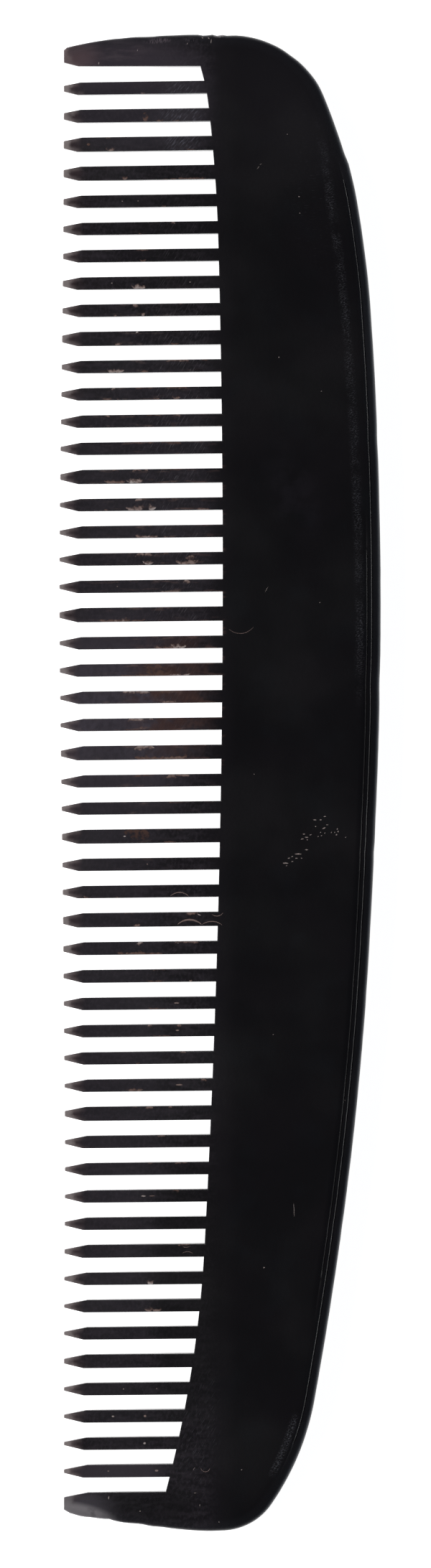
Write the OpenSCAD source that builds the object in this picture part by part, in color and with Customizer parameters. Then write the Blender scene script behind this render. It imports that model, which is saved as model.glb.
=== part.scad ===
// Horn dressing comb, sawn from one flat plate of black horn.
// It lies on its lower face: X runs from the tooth tips to the back, Y along the comb,
// Z up through the plate. The origin is under the middle of the comb.
// The horn is one piece. It is divided where the saw stopped, at the roots of the fine teeth:
// plate is the back with the two guard teeth, teeth are the 51 fine ones.

/* [Plate] */
// Length of the comb, from guard tooth to guard tooth
comb_length = 180; // [150:1:210]
// Thickness of the plate behind the teeth
plate_t = 4.0; // [3:0.1:5]
// Width of the bevel along the back, on both faces
bevel_w = 1.05; // [0.6:0.05:1.4]
// Depth of that bevel
bevel_h = 0.7; // [0.3:0.05:1]

/* [Teeth] */
// Number of fine teeth between the two guard teeth
tooth_count = 51; // [40:1:56]
// Width of a fine tooth
tooth_w = 1.5; // [1.2:0.05:1.6]
// Thickness of the teeth at their tips
tip_t = 1.8; // [1.2:0.1:2.6]
// Where the thinning of the teeth starts, measured across the comb
thinning_x = 1.5; // [-2:0.1:4]
// How far each tooth rises on its way to the back, in degrees
tooth_slope = 0.66; // [0:0.02:1.2]
// Width of a tooth's blunt end
tip_w = 0.6; // [0.4:0.05:0.9]
// Length of the two small bevels at the end of each tooth
tip_bevel = 2.1; // [1:0.1:3]

/* [Hand work] */
// How far the tips stand proud in the fuller middle of the row
tip_bulge = 0.55; // [0:0.05:1]
// How far the tips fall back in the hollow of the lower half
tip_hollow = 0.13; // [0:0.01:0.6]
// How much of the uneven tooth widths is kept, from 0 for even teeth
unevenness = 1; // [0:0.1:1]

/* [Hidden] */

// The tables are drawn for a comb 180 mm long and grow with it
drawn_length = 180;
k = comb_length / drawn_length;

// The outline as arcs that turn clockwise, each tangent to the one before.
// It runs from the end of the upper guard tooth, round the back, to the lower guard tooth.
outline_start = [-18.4, 88.4];
outline_heading = 15;
// radius, turn in degrees
outline_arcs = [
    [38, 10.9],    // upper guard tooth
    [130, 5.6],    // upper edge
    [12.6, 63.8],  // upper corner
    [52, 14.8],    // shoulder
    [134, 6.2],
    [530, 6.0],    // upper back
    [1250, 0.9],
    [415, 4.4],    // lower back
    [490, 2.7],
    [32.5, 24.0],
    [7.4, 52.3],   // lower corner
    [31, 8.2],     // lower edge
    [137, 6.0]     // lower guard tooth
];

// The line on which the saw cuts end, in the same way, from top to bottom
root_start = [-2.4, 86.3];
root_heading = -72.5;
// radius, turn in degrees
root_arcs = [
    [25, 10.8],
    [190, 5.2],
    [1500, 4.6],
    [145, 12.0]
];

// The inner edges of the guard teeth, where the row of fine teeth has its room
row_top = 86.11 * k;
row_bottom = -85.22 * k;
row_pivot_x = -2.5 * k;

// Teeth that came off the saw wider than the rest: tooth number, extra width
wide_teeth = [
    [2, 0.07], [3, 0.21], [4, 0.21], [10, 0.21], [15, 0.21], [20, 0.22], [25, 0.22], [28, 0.20],
    [31, 0.22], [32, 0.06], [33, 0.06], [38, 0.21], [43, 0.07], [47, 0.15], [51, 0.05]
];

// The line of the tips: its place, then where it is fullest and most hollow and how widely
tip_line_x = -18.77;
bulge_y = 23;
bulge_reach = 32;
hollow_y = -45;
hollow_reach = 13;

// The outer corners of the guard teeth's blunt ends
guard_end_top = 88.05;
guard_end_bottom = -87.45;
// Size of the corner cut off the outer edge of each guard tooth's end, in x and y
guard_corner = [0.55, 0.45];

// The longest straight step along an arc, and the widest angle that it may span
step_l = 4;
step_a = 4;

// How far the cutting shapes reach past the plate, and half the size of what they cut
past = 6;
side_x = 30 * k;
side_y = 100 * k;

rise = tan(tooth_slope);
flare = (tooth_w - tip_w) / 2 / tip_bevel;

// Arcs as rows of centre x, centre y, radius, angle at the start, turn
function arc_run(x, y, heading, table, i = 0) =
    i == len(table) ? [] :
    let (r = table[i][0] * k,
         turn = table[i][1],
         cx = x + r * sin(heading),
         cy = y - r * cos(heading),
         last = heading + 90 - turn)
    concat([[cx, cy, r, heading + 90, turn]],
           arc_run(cx + r * cos(last), cy + r * sin(last), heading - turn, table, i + 1));

outline = arc_run(outline_start[0] * k, outline_start[1] * k, outline_heading, outline_arcs);
root = arc_run(root_start[0] * k, root_start[1] * k, root_heading, root_arcs);

// A point of an arc: t runs from 0 at its start to 1 at its end, inset moves it inwards
function arc_point(a, t, inset = 0) =
    let (angle = a[3] - t * a[4])
    [a[0] + (a[2] - inset) * cos(angle), a[1] + (a[2] - inset) * sin(angle)];

// Where the saw stopped at the height y
function root_x(y, i = 0) =
    i == len(root) - 1 || y >= arc_point(root[i], 1)[1]
        ? root[i][0] + sqrt(root[i][2] * root[i][2] - pow(y - root[i][1], 2))
        : root_x(y, i + 1);

// Where the tips end at the height y
function hump(y, at, reach) = exp(-pow((y / k - at) / reach, 2));
function tip_x(y) = tip_line_x * k
    - tip_bulge * hump(y, bulge_y, bulge_reach)
    + tip_hollow * hump(y, hollow_y, hollow_reach);

// Widths of the fine teeth, and the saw cut that shares out what they leave
function extra_w(i) =
    let (found = [for (row = wide_teeth) if (row[0] == i) row[1]])
    len(found) > 0 ? found[0] * unevenness : 0;
function added_w(n) = n < 1 ? 0 : extra_w(n) + added_w(n - 1);
function teeth_w(n) = n * tooth_w + added_w(n);
kerf = (row_top - row_bottom - teeth_w(tooth_count)) / (tooth_count + 1);

// Heights of the two sides of saw cut i at the pivot line; cut 0 is next to the upper guard
function cut_top(i) = row_top - teeth_w(i) - i * kerf;
function cut_bottom(i) = cut_top(i) - kerf;

// One side of a saw cut: its inner corner, the start of the tip's bevel, and a point past the tips
// by beyond. side is 1 for the upper side, -1 for the lower one.
function cut_side(y, side, slope, beyond) =
    let (mouth = tip_x(y) + tip_bevel,
         end = tip_x(y) - beyond,
         inner = root_x(y))
    [[inner, y + (inner - row_pivot_x) * slope],
     [mouth, y + (mouth - row_pivot_x) * slope],
     [end, y + (end - row_pivot_x) * slope + side * flare * (mouth - end)]];

function reversed(list) = [for (i = [len(list) - 1:-1:0]) list[i]];

// Fine tooth i, counted from the upper guard, stands between saw cut i - 1 and saw cut i
function tooth_points(i) =
    concat(cut_side(cut_bottom(i - 1), -1, rise, 0), reversed(cut_side(cut_top(i), 1, rise, 0)));

// The room of the row from guard to guard. Its inner line runs through the corners of the saw
// cuts, so each tooth stands on its own stretch of it. The upper guard's inner edge lies level.
function room_points() =
    let (upper = cut_side(cut_top(0), 1, 0, past),
         lower = cut_side(cut_bottom(tooth_count), -1, rise, past),
         corners = [for (i = [1:tooth_count]) let (p = tooth_points(i)) each [p[0], p[5]]])
    concat(reversed(upper), corners, lower);

// Cuts the shape right through the plate
module cut_through(points) {
    translate([0, 0, -past])
        linear_extrude(plate_t + 2 * past)
            polygon(points);
}

// The outline's points, moved inwards by the inset, and closed by a straight edge that stands
// clear of the tips
function arc_steps(a) = max(ceil(a[4] / step_a), ceil(a[2] * a[4] * PI / 180 / step_l));
function outline_points(inset) =
    let (steps = [for (a = outline) for (i = [0:arc_steps(a) - 1]) arc_point(a, i / arc_steps(a), inset)],
         end = arc_point(outline[len(outline) - 1], 1, inset),
         front = tip_line_x * k - past)
    concat([[front, steps[0][1]]], steps, [end, [front, end[1]]]);

// The plate before it is sawn, with its outline bevelled on both faces
module blank() {
    hull() {
        linear_extrude(plate_t)
            polygon(outline_points(bevel_w));
        translate([0, 0, bevel_h])
            linear_extrude(plate_t - 2 * bevel_h)
                polygon(outline_points(0));
    }
}

// What is trimmed off in front of the guard teeth, with the outer corners of their ends
module trimming() {
    ends = [for (y = [guard_end_top * k, row_top, row_bottom, guard_end_bottom * k]) [tip_x(y), y]];
    upper = ends[0] + guard_corner;
    lower = ends[3] + [guard_corner[0], -guard_corner[1]];
    cut_through(concat(
        [[-side_x, side_y], [upper[0], side_y], upper],
        ends,
        [lower, [lower[0], -side_y], [-side_x, -side_y]]));
}

// Two flat cuts thin the teeth evenly from both faces towards their tips
module thinning() {
    fall = (plate_t - tip_t) / 2 / (thinning_x - tip_line_x * k);
    at_tips = (thinning_x + side_x) * fall;
    at_back = (thinning_x - side_x) * fall;
    translate([0, side_y, 0])
        rotate([90, 0, 0])
            linear_extrude(2 * side_y)
                polygon([
                    [-side_x, at_tips],
                    [thinning_x, 0],
                    [side_x, at_back],
                    [side_x, plate_t - at_back],
                    [thinning_x, plate_t],
                    [-side_x, plate_t - at_tips]
                ]);
}

module plate() {
    color("#1b191c")
        difference() {
            intersection() {
                blank();
                thinning();
            }
            trimming();
            cut_through(room_points());
        }
}

module teeth() {
    color("#2b2728")
        intersection() {
            thinning();
            for (i = [1:tooth_count])
                linear_extrude(plate_t)
                    polygon(tooth_points(i));
        }
}

plate();
teeth();
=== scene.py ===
# %% [markdown]
# # A hand-sawn comb of black horn
# The comb is one thin plate of horn, cut from a flattened buffalo horn. Its maker draws the
# outline, rasps the edge round, thins the tooth side on both faces, saws the teeth one by one
# and files their ends to blunt points. Then the whole comb is scraped and polished.
# We make it in the same order: a blank with its edge, the saw cuts, the softened arrises,
# and last the finish of the horn. Sizes are in millimetres, as on the maker's bench, and one
# factor turns them into metres.

# %% Load the measured comb
import math

import bmesh
import bpy
import numpy as np
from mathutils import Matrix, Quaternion, Vector


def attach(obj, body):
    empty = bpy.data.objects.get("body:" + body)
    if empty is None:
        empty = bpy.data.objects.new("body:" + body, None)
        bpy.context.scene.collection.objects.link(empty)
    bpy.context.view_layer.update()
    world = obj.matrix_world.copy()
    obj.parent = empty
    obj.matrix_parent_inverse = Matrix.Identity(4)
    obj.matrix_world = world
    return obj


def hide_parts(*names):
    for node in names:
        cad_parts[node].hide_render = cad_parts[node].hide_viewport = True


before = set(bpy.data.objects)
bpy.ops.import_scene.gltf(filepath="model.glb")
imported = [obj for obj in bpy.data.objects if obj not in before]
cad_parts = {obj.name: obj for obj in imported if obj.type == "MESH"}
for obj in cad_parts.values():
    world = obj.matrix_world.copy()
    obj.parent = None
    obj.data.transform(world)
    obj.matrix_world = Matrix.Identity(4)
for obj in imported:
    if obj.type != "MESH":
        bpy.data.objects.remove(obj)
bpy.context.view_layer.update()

MM = 0.001

# %% [markdown]
# ## The sizes of the plate and its row of teeth
# These are the same named sizes that the measured part is built from. The outline is a chain
# of arcs, each tangent to the one before, because that is how a rasped curve feels to the hand:
# it has no corners, only faster and slower bends. The chain starts at the end of the upper
# guard tooth, runs round the back and ends at the lower guard tooth.

# %% Sizes
PLATE_T = 4.0
# What scraping and polishing take off each face
POLISHED_OFF = 0.012
TIP_T = 1.8
THINNING_X = 1.5
TOOTH_COUNT = 51
TOOTH_W = 1.5
TOOTH_SLOPE = 0.66
RISE = math.tan(math.radians(TOOTH_SLOPE))
ROW_TOP, ROW_BOTTOM, ROW_PIVOT_X = 86.11, -85.22, -2.5
GUARD_END_TOP, GUARD_END_BOTTOM = 88.05, -87.45
# The line of the tips: its place, then how far, where and how widely it is fuller, and hollow
TIP_LINE_X = -18.77
TIP_BULGE, BULGE_Y, BULGE_REACH = 0.55, 23, 32
TIP_HOLLOW, HOLLOW_Y, HOLLOW_REACH = 0.13, -45, 13

# radius, turn in degrees
OUTLINE_START, OUTLINE_HEADING = (-18.4, 88.4), 15
OUTLINE_ARCS = [
    (38, 10.9), (130, 5.6), (12.6, 63.8), (52, 14.8), (134, 6.2), (530, 6.0), (1250, 0.9),
    (415, 4.4), (490, 2.7), (32.5, 24.0), (7.4, 52.3), (31, 8.2), (137, 6.0),
]
ROOT_START, ROOT_HEADING = (-2.4, 86.3), -72.5
ROOT_ARCS = [(25, 10.8), (190, 5.2), (1500, 4.6), (145, 12.0)]

# tooth, extra width: these came off the saw wider than the rest
WIDE_TEETH = {
    2: 0.07, 3: 0.21, 4: 0.21, 10: 0.21, 15: 0.21, 20: 0.22, 25: 0.22, 28: 0.20,
    31: 0.22, 32: 0.06, 33: 0.06, 38: 0.21, 43: 0.07, 47: 0.15, 51: 0.05,
}


def arc_run(start, heading, table):
    """The arcs of a chain, as centre x, centre y, radius, first angle and turn."""
    x, y = start
    arcs = []
    for radius, turn in table:
        cx = x + radius * math.sin(math.radians(heading))
        cy = y - radius * math.cos(math.radians(heading))
        arcs.append((cx, cy, radius, heading + 90, turn))
        last = math.radians(heading + 90 - turn)
        x = cx + radius * math.cos(last)
        y = cy + radius * math.sin(last)
        heading -= turn
    return arcs


def arc_point(arc, t):
    """A point of an arc and the direction that points outwards there."""
    cx, cy, radius, first, turn = arc
    angle = math.radians(first - t * turn)
    out = (math.cos(angle), math.sin(angle))
    return (cx + radius * out[0], cy + radius * out[1]), out


def tip_x(y):
    """Where the tips end: a line that stands proud in the middle and falls back below it."""
    proud = TIP_BULGE * math.exp(-((y - BULGE_Y) / BULGE_REACH) ** 2)
    return TIP_LINE_X - proud + TIP_HOLLOW * math.exp(-((y - HOLLOW_Y) / HOLLOW_REACH) ** 2)


def root_x(y):
    """Where the saw stopped at the height y."""
    for arc in root:
        if y >= arc_point(arc, 1)[0][1] or arc is root[-1]:
            return arc[0] + math.sqrt(arc[2] ** 2 - (y - arc[1]) ** 2)


outline = arc_run(OUTLINE_START, OUTLINE_HEADING, OUTLINE_ARCS)
root = arc_run(ROOT_START, ROOT_HEADING, ROOT_ARCS)
print("arcs of the outline:", len(outline), " saw line at mid height, x:", round(root_x(0), 2))

# %% [markdown]
# ## The edge of the blank
# Seen from above, the rasped edge of the back is a strip about a millimetre wide, closed by a
# fine line that the scraper left, with a fainter line beside it. A modifier's bevel would give
# one even rounding. So we describe the section once, as rows of distance in from the edge and
# share of the half thickness, and carry it round the outline as rings. The hand shows
# as well: small dents, a chipped stretch on the upper edge, and a step on the shoulder where
# two strokes of the rasp met.

# %% Walk along the outline
STEP_MM = 0.6
walk = []
for arc in outline:
    steps = max(2, math.ceil(arc[2] * math.radians(arc[4]) / STEP_MM))
    walk += [arc_point(arc, i / steps) for i in range(steps)]
walk.append(arc_point(outline[-1], 1))
place = np.array([p for p, out in walk])
outward = np.array([out for p, out in walk])
along = np.concatenate([[0], np.cumsum(np.linalg.norm(np.diff(place, axis=0), axis=1))])


def along_at(x, y):
    """How far along the outline the point nearest to x, y lies."""
    return along[np.argmin(np.hypot(place[:, 0] - x, place[:, 1] - y))]


print("walked round the outline:", round(along[-1]), "mm")

# %% Waver, dents and the shoulder's step
# x, y, depth, reach, all in mm
DENTS = [
    (-12.0, 89.0, 0.05, 0.8), (-8.2, 89.4, 0.07, 1.2), (-2.2, 89.9, 0.11, 0.35),
    (-1.2, 89.9, 0.07, 0.3), (-0.3, 89.9, 0.13, 0.3), (0.7, 89.9, 0.08, 0.35), (1.6, 89.8, 0.05, 0.6),
    (8.6, 87.6, 0.05, 0.8), (18.9, 41.0, 0.05, 1.6), (19.3, 12.0, 0.06, 2.0), (18.6, -8.6, 0.05, 0.8),
    (-13.4, -88.3, 0.10, 0.5), (-16.8, -87.9, -0.10, 0.9), (-9.5, -88.9, 0.06, 1.0),
]
rng = np.random.default_rng(12)


def waver(length, size):
    """A smooth unevenness along the outline, with bumps about length apart."""
    knots = np.arange(0, along[-1] + 2 * length, length)
    return size * np.interp(along, knots, rng.standard_normal(len(knots)))


inward = np.abs(waver(7.0, 0.012)) + np.abs(waver(1.9, 0.010))
# The guard teeth's outer edges, in front of an x, were only rasped, in short flat strokes
RASPED_X, RASPED_FADE = -4, 3
inward += np.abs(waver(2.2, 0.05)) * np.clip((RASPED_X - place[:, 0]) / RASPED_FADE, 0, 1)
for x, y, depth, reach in DENTS:
    inward += depth * np.exp(-((along - along_at(x, y)) / reach) ** 2)
# The stretch before the step on the shoulder was rasped a little deeper: slowly at its start,
# and ending in a short step that runs a little past its middle
STRETCH_START, STRETCH_FADE = (11.6, 84.0), 6
STEP_MIDDLE, STEP_DEPTH, STEP_LENGTH, STEP_PAST = (15.35, 74.9), 0.17, 1.3, 0.5
step_at = along_at(*STEP_MIDDLE)
deeper = np.clip((along - along_at(*STRETCH_START)) / STRETCH_FADE, 0, 1)
inward += STEP_DEPTH * deeper * np.clip((step_at + STEP_PAST - along) / STEP_LENGTH, 0, 1)
place = place - outward * inward[:, None]
print("outline:", len(place), "points, worn in by up to", round(float(inward.max()), 2), "mm")

# %% Rings from the edge inwards
# distance in from the edge, share of the half thickness, depth of the first and second scraped line
EDGE_SECTION = [
    (0.00, 0.00, 0, 0), (0.00, 0.60, 0, 0), (0.03, 0.662, 0, 0), (0.07, 0.703, 0, 0),
    (0.12, 0.740, 0, 0), (0.22, 0.785, 0, 0), (0.42, 0.845, 0, 0), (0.66, 0.888, 0, 0),
    (0.90, 0.917, 0, 0), (1.08, 0.931, 0, 0), (1.12, 0.934, 0.035, 0), (1.16, 0.936, 0.035, 0),
    (1.21, 0.939, 0, 0), (1.42, 0.953, 0, 0), (1.64, 0.963, 0, 0), (1.68, 0.965, 0, 0.028),
    (1.72, 0.967, 0, 0.028), (1.77, 0.969, 0, 0), (2.40, 0.983, 0, 0), (3.20, 0.993, 0, 0),
    (4.00, 0.998, 0, 0), (4.80, 1.0, 0, 0),
]
# The edge is worn narrower on the guard teeth: 0 along the back, rising to 1 in front of an x
WORN_X, WORN_FADE = 6, 14
on_guard = np.clip((WORN_X - place[:, 0]) / WORN_FADE, 0, 1)
# Width of the rasped strip, and by which share it and the rest of the section are narrower there
STRIP_MM, STRIP_WORN, REST_WORN = 1.2, 0.45, 0.81
# How much of a ring's inset is left along the guard teeth's blunt ends
END_INSET = 0.93


def scraped_line(begin, end, fade_in, fade_out):
    """Where a scraped line runs: 1 between two lengths along the outline, with soft ends."""
    return np.clip((along - begin) / fade_in, 0, 1) * np.clip((end - along) / fade_out, 0, 1)


def half_thickness(x):
    """Half the plate's thickness: full at the back, then falling evenly towards the tips."""
    fall = (PLATE_T - TIP_T) / 2 / (THINNING_X - TIP_LINE_X)
    # The bend begins this far behind its line and ends as far in front of it
    soft = 1.0
    past = np.clip(THINNING_X + soft - x, 0, None)
    bend = np.where(past < 2 * soft, past ** 2 / (4 * soft), past - soft)
    return PLATE_T / 2 - POLISHED_OFF - fall * bend


def ring(distance):
    """Points of one ring, from the upper guard tooth's end round the back to the lower one's."""
    inset = (min(distance, STRIP_MM) * (1 - STRIP_WORN * on_guard)
             + max(distance - STRIP_MM, 0) * (1 - REST_WORN * on_guard))
    points = place - outward * inset[:, None]
    upper = (tip_x(GUARD_END_TOP), GUARD_END_TOP - END_INSET * inset[0])
    lower = (tip_x(GUARD_END_BOTTOM), GUARD_END_BOTTOM + END_INSET * inset[-1])
    return np.vstack([upper, points, lower])


rings = [ring(row[0]) for row in EDGE_SECTION]
# The first line runs down the back from the step on the shoulder, the second in its middle only
first_line = scraped_line(step_at, along_at(7.0, -83.5), 3, 6)
second_line = scraped_line(along_at(19.0, 33.6), along_at(14.6, -66.0), 6, 6)
# The rings have one point more at either end than the outline
lines = np.pad(np.array([first_line, second_line]), ((0, 0), (1, 1)))
print("rings:", len(rings), "of", len(rings[0]), "points")

# %% [markdown]
# ## The faces of the blank
# The two faces are flat over the back and slope evenly to the tips. Flat horn polished by hand
# mirrors the room, so the faces stay true planes and aren't subdivided. Between the inner ring's
# upper and lower side lie a few long strips where the slope begins, one sloping plane in front
# of them and one level plane behind. The lower half is the same sheet turned over, the two meet
# in the middle of the edge, and a wall along the tips closes the blank.

# %% Share out the row
extra = [WIDE_TEETH.get(i, 0) for i in range(TOOTH_COUNT + 1)]
used = [i * TOOTH_W + sum(extra[:i + 1]) for i in range(TOOTH_COUNT + 1)]
KERF = (ROW_TOP - ROW_BOTTOM - used[TOOTH_COUNT]) / (TOOTH_COUNT + 1)
cut_tops = [ROW_TOP - used[i] - i * KERF for i in range(TOOTH_COUNT + 1)]
print("saw cuts:", len(cut_tops), " kerf, mm:", round(KERF, 3))

# %% Lay out the upper sheet
# x of the creases over which the plate bends into its slope
CREASE_LINES = [0.8, 1.4, 2.0, 2.6]
per_ring = len(rings[0])
inner = (len(rings) - 1) * per_ring
sheet = [tuple(p) for loop in rings for p in loop]
share = [row[1] for row in EDGE_SECTION for _ in range(per_ring)]
scraped = np.concatenate([row[2] * lines[0] + row[3] * lines[1] for row in EDGE_SECTION])

faces = []
for r in range(len(rings) - 1):
    for i in range(per_ring - 1):
        a = r * per_ring + i
        faces.append([a, a + per_ring, a + per_ring + 1, a + 1])

# The tip line between the inner ring's ends. Its points lie where the saw will pass, so each
# tooth's end is one clean face.
front_y = [top - KERF / 2 + (tip_x(top) - ROW_PIVOT_X) * RISE for top in cut_tops]
front = list(range(len(sheet), len(sheet) + len(front_y)))
sheet += [(tip_x(y), y) for y in front_y]
share += [1.0] * len(front_y)

# Each crease line joins a point of the inner ring's upper side to one of its lower side
last_ring = rings[-1]
half = int(np.argmax(last_ring[:, 0]))
upper_ends = [inner + int(np.argmin(np.abs(last_ring[:half, 0] - x))) for x in CREASE_LINES]
lower_ends = [inner + half + int(np.argmin(np.abs(last_ring[half:, 0] - x))) for x in CREASE_LINES]
faces.append((list(range(inner, upper_ends[0] + 1)) + list(range(lower_ends[0], inner + per_ring))
              + front[::-1])[::-1])
for u, v, s, t in zip(upper_ends, upper_ends[1:], lower_ends, lower_ends[1:]):
    faces.append((list(range(u, v + 1)) + list(range(t, s + 1)))[::-1])
faces.append(list(range(upper_ends[-1], lower_ends[-1] + 1))[::-1])
print("upper sheet:", len(sheet), "points,", len(faces), "faces")

# %% Turn the sheet over and close the blank
flat = np.array(sheet)
rise_z = half_thickness(flat[:, 0]) * np.array(share)
rise_z[:len(scraped)] -= scraped
count = len(flat)
below = [i if i < per_ring else i + count - per_ring for i in range(count)]
verts = np.vstack([
    np.column_stack([flat, PLATE_T / 2 + rise_z]),
    np.column_stack([flat, PLATE_T / 2 - rise_z])[per_ring:],
])
faces += [[below[i] for i in f][::-1] for f in faces]
ring_starts = [r * per_ring for r in range(len(rings))]
ring_ends = [start + per_ring - 1 for start in ring_starts]
chain = ring_starts + front + ring_ends[::-1]
for a, b in zip(chain, chain[1:]):
    faces.append(list(dict.fromkeys([b, a, below[a], below[b]])))


def add_mesh(name, points_mm, polygons):
    """A mesh object at the origin, from points in millimetres."""
    mesh = bpy.data.meshes.new(name)
    mesh.from_pydata((np.asarray(points_mm) * MM).tolist(), [], polygons)
    mesh.validate()
    made = bpy.data.objects.new(name, mesh)
    bpy.context.scene.collection.objects.link(made)
    return made


def open_edges(mesh):
    """Edges that don't lie between exactly two faces; a closed skin has none."""
    met = {}
    for polygon in mesh.polygons:
        for key in polygon.edge_keys:
            met[key] = met.get(key, 0) + 1
    return sum(1 for n in met.values() if n != 2)


blank = add_mesh("blank", verts, faces)
print("blank:", len(blank.data.polygons), "faces,", open_edges(blank.data), "open edges")

# %% [markdown]
# ## Sawing the teeth
# A comb's teeth are not made, they are what the saw leaves. So we don't place 51 teeth: we place
# 52 saw cuts, as the maker does, and take them from the blank. Each cut gets a mark that
# carries its measures: where its upper and lower side run, how deep the saw went on each side,
# and what the file took from the neighbouring tooth's end. The teeth lean by two thirds of a
# degree, and the ends of the cuts follow a curve that the maker scribed first.
# The Geometry Nodes tree sets one plain cutter on every mark, stretches it to the mark's
# measures, and subtracts all of them in one Boolean. The file's wander comes from a seed.

# %% Helpers for node trees
def fill(tree, node, inputs):
    """Links a node's inputs to other nodes or gives them values, by name, or by number where
    names repeat."""
    for socket, value in inputs.items():
        if isinstance(value, bpy.types.Node):
            value = value.outputs[0]
        if isinstance(value, bpy.types.NodeSocket):
            tree.links.new(value, node.inputs[socket])
        else:
            node.inputs[socket].default_value = value
    return node


def add(tree, kind, inputs=None, **settings):
    """Adds one node with its settings and links."""
    made = tree.nodes.new(kind)
    for name, value in settings.items():
        setattr(made, name, value)
    return fill(tree, made, inputs or {})


def name_sockets(tree, inputs, output):
    """Gives a tree named inputs and one output, and returns its inputs for the nodes to come."""
    for name, kind in inputs.items():
        tree.interface.new_socket(name, in_out="INPUT", socket_type="NodeSocket" + kind)
    tree.interface.new_socket(output, in_out="OUTPUT", socket_type="NodeSocketGeometry")
    return add(tree, "NodeGroupInput").outputs


def write_points(piece, name, values):
    """Keeps a number, or a row of three, at every point of a piece."""
    values = np.asarray(values, dtype=np.float32)
    kind, field = ("FLOAT_VECTOR", "vector") if values.ndim == 2 else ("FLOAT", "value")
    layer = piece.data.attributes.new(name, kind, "POINT")
    layer.data.foreach_set(field, values.ravel())


# %% Mark out the saw cuts
# The maker set the file on scribed lines, so the bevels start at the same x from tooth to tooth
# and grow where the tips stand proud. Last tooth that a line holds for, x of the line.
FILE_LINES_ABOVE = [(22, -16.68), (36, -16.45), (51, -15.98)]
FILE_LINES_BELOW = [(32, -17.06), (51, -16.40)]
FILE_SLOPE_ABOVE, FILE_SLOPE_BELOW = 0.185, 0.25


def side_marks(y, rise, tooth, file_lines, file_slope):
    """One side of a cut: its line, then where it ends and the length and depth of the bevel."""
    starts = [x for last, x in file_lines if tooth <= last] or [file_lines[-1][1]]
    bevel = starts[0] - tip_x(y)
    return [(y, root_x(y), rise), (tip_x(y), bevel, bevel * file_slope)]


marks = {"upper_side": [], "upper_file": [], "lower_side": [], "lower_file": []}
for i, top in enumerate(cut_tops):
    # A cut's upper side is the lower side of the tooth above it. The upper guard's edge is level.
    upper = side_marks(top, 0 if i == 0 else RISE, i, FILE_LINES_BELOW, FILE_SLOPE_BELOW)
    lower = side_marks(top - KERF, RISE, i + 1, FILE_LINES_ABOVE, FILE_SLOPE_ABOVE)
    for name, row in zip(marks, upper + lower):
        marks[name].append(row)

saw_marks = add_mesh("saw_marks", [(line[1], line[0], 0) for line in marks["upper_side"]], [])
for name, rows in marks.items():
    write_points(saw_marks, name, rows)
print("marks:", len(marks["upper_side"]), " bevels above, mm:",
      [round(marks["upper_file"][i][1], 2) for i in (1, 20, 40)])

# %% The saw as a node tree
saw = bpy.data.node_groups.new("saw the row", "GeometryNodeTree")
given = name_sockets(saw, {"Blank": "Geometry", "Saw Marks": "Object", "Past Tips mm": "Float",
                           "Past Faces mm": "Float", "File Wander": "Float", "Seed": "Int",
                           "Finish": "Material"}, "Comb")
info = add(saw, "GeometryNodeObjectInfo", {"Object": given["Saw Marks"]})
marked = info.outputs["Geometry"]
for k, name in enumerate(("upper_wander", "lower_wander")):
    seed = add(saw, "ShaderNodeMath", {0: given["Seed"], 1: float(k)}, operation="ADD")
    wander = add(saw, "FunctionNodeRandomValue", {2: -1.0, 3: 1.0, "Seed": seed}, data_type="FLOAT")
    marked = add(saw, "GeometryNodeStoreNamedAttribute",
                 {"Geometry": marked, "Name": name, "Value": wander.outputs[1]},
                 data_type="FLOAT", domain="POINT").outputs[0]

# One plain cutter, three stations long: the saw's end, the mouth, and past the tips
bar = add(saw, "GeometryNodeMeshCube", {"Size": (2, 2, 2), "Vertices X": 3})
bar = add(saw, "GeometryNodeStoreNamedAttribute",
          {"Geometry": bar, "Name": "tool", "Value": add(saw, "GeometryNodeInputPosition")},
          data_type="FLOAT_VECTOR", domain="POINT")
bars = add(saw, "GeometryNodeInstanceOnPoints", {"Points": marked, "Instance": bar})
bars = add(saw, "GeometryNodeRealizeInstances", {"Geometry": bars})

# Where on the cutter a point lies, and the measures of the side that it is on
tool = add(saw, "GeometryNodeInputNamedAttribute", {"Name": "tool"}, data_type="FLOAT_VECTOR")
tool = add(saw, "ShaderNodeSeparateXYZ", {0: tool}).outputs
is_upper = add(saw, "ShaderNodeMath", {0: tool["Y"], 1: 0.0}, operation="GREATER_THAN")
read = {}
for kind, data_type, pick in (("side", "FLOAT_VECTOR", "VECTOR"), ("file", "FLOAT_VECTOR", "VECTOR"),
                              ("wander", "FLOAT", "FLOAT")):
    lower, upper = [add(saw, "GeometryNodeInputNamedAttribute", {"Name": side + kind}, data_type=data_type)
                    for side in ("lower_", "upper_")]
    read[kind] = add(saw, "GeometryNodeSwitch", {"Switch": is_upper, "False": lower, "True": upper},
                     input_type=pick)
line_y, saw_end, slope = add(saw, "ShaderNodeSeparateXYZ", {0: read["side"]}).outputs
tip, bevel, depth = add(saw, "ShaderNodeSeparateXYZ", {0: read["file"]}).outputs
share_off = add(saw, "ShaderNodeMath", {0: read["wander"], 1: given["File Wander"], 2: 1.0},
                operation="MULTIPLY_ADD")
bevel = add(saw, "ShaderNodeMath", {0: bevel, 1: share_off}, operation="MULTIPLY")
depth = add(saw, "ShaderNodeMath", {0: depth, 1: share_off}, operation="MULTIPLY")
mouth = add(saw, "ShaderNodeMath", {0: tip, 1: bevel}, operation="ADD")
beyond = add(saw, "ShaderNodeMath", {0: tip, 1: given["Past Tips mm"]}, operation="SUBTRACT")
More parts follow.
